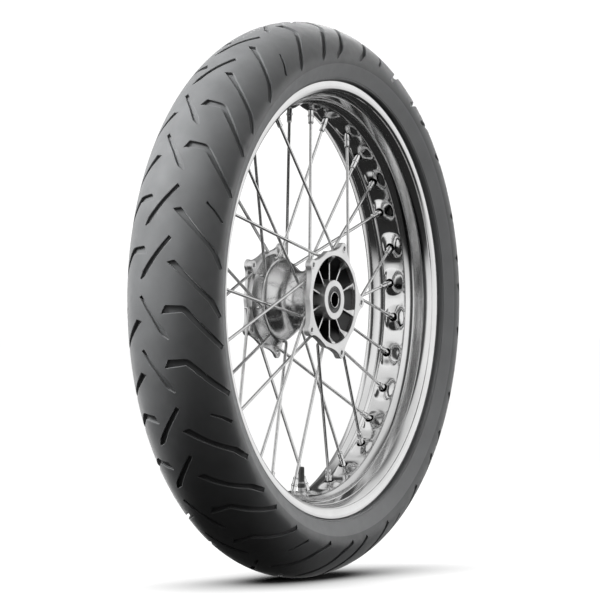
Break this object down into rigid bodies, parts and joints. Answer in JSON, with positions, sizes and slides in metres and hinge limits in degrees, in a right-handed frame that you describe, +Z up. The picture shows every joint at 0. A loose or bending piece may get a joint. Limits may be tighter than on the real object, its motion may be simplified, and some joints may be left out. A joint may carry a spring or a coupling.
{
  "type": "motorcycle spoked front wheel",
  "caption": "Wire-spoked motorcycle front wheel with a road tyre, polished rim, finned disc-carrier hub, sealed bearings and a valve",
  "frame": {"origin": "centre of the wheel, on the spin axis and in the rim centre plane", "axes": "+Y along the spin axis towards the left side, +Z up, the pictured right side faces -Y"},
  "size_m": [0.6506, 0.119, 0.6506],
  "materials": {
    "tyre": "matt black rubber, satin sidewall",
    "rim": "polished",
    "hub": "satin casting, machined faces",
    "spokes": "bright drawn wire",
    "steel": "ground",
    "bearing": "ground and polished",
    "seal": "satin",
    "liner": "matt",
    "brass": "nickelled brass",
    "cap": "satin black"
  },
  "bodies": {
    "axle_group": {"bearing_inner_race_right": "bearing", "bearing_inner_race_left": "bearing", "spacer_tube": "steel", "side_collar_right": "steel", "side_collar_left": "steel"},
    "wheel": {"tyre": "tyre", "rim": "rim", "rim_strip": "liner", "inner_tube": "liner", "valve_stem": "brass", "valve_nut": "steel", "valve_core": "brass", "hub": "hub", "bearing_circlip": "steel", "bearing_outer_race_right": "bearing", "dust_seal_right": "seal", "bearing_outer_race_left": "bearing", "dust_seal_left": "seal", "spoke_left_outer_1": "spokes", "spoke_left_outer_2": "spokes", "spoke_left_outer_3": "spokes", "spoke_left_outer_4": "spokes", "spoke_left_outer_5": "spokes", "spoke_left_outer_6": "spokes", "spoke_left_outer_7": "spokes", "spoke_left_outer_8": "spokes", "spoke_right_outer_1": "spokes", "spoke_right_outer_2": "spokes", "spoke_right_outer_3": "spokes", "spoke_right_outer_4": "spokes", "spoke_right_outer_5": "spokes", "spoke_right_outer_6": "spokes", "spoke_right_outer_7": "spokes", "spoke_right_outer_8": "spokes", "spoke_left_inner_1": "spokes", "spoke_left_inner_2": "spokes", "spoke_left_inner_3": "spokes", "spoke_left_inner_4": "spokes", "spoke_left_inner_5": "spokes", "spoke_left_inner_6": "spokes", "spoke_left_inner_7": "spokes", "spoke_left_inner_8": "spokes", "spoke_right_inner_1": "spokes", "spoke_right_inner_2": "spokes", "spoke_right_inner_3": "spokes", "spoke_right_inner_4": "spokes", "spoke_right_inner_5": "spokes", "spoke_right_inner_6": "spokes", "spoke_right_inner_7": "spokes", "spoke_right_inner_8": "spokes"},
    "balls_right": {"bearing_cage_right": "bearing"},
    "balls_left": {"bearing_cage_left": "bearing"},
    "valve_pin": {"valve_pin": "brass"},
    "valve_cap": {"valve_cap": "cap"}
  },
  "joints": [
    {"name": "wheel_spin", "type": "hinge", "parent": "axle_group", "child": "wheel", "pos_m": [0, 0, 0], "axis": [0, 1, 0], "continuous": true},
    {"name": "balls_right_spin", "type": "hinge", "parent": "axle_group", "child": "balls_right", "pos_m": [0, -0.0379, 0], "axis": [0, 1, 0], "continuous": true},
    {"name": "balls_left_spin", "type": "hinge", "parent": "axle_group", "child": "balls_left", "pos_m": [0, 0.0379, 0], "axis": [0, 1, 0], "continuous": true},
    {"name": "valve_pin_press", "type": "slide", "parent": "wheel", "child": "valve_pin", "axis": [0, 0, -1], "range_m": [0, 0.0012], "stiffness_N_per_m": 500, "springref_m": -0.001},
    {"name": "valve_cap_off", "type": "slide", "parent": "wheel", "child": "valve_cap", "axis": [0, 0, 1], "range_m": [0, 0.026]}
  ],
  "couplings": [
    {"joint": "balls_right_spin", "follows": "wheel_spin", "ratio": 0.5681},
    {"joint": "balls_left_spin", "follows": "wheel_spin", "ratio": 0.5681}
  ]
}
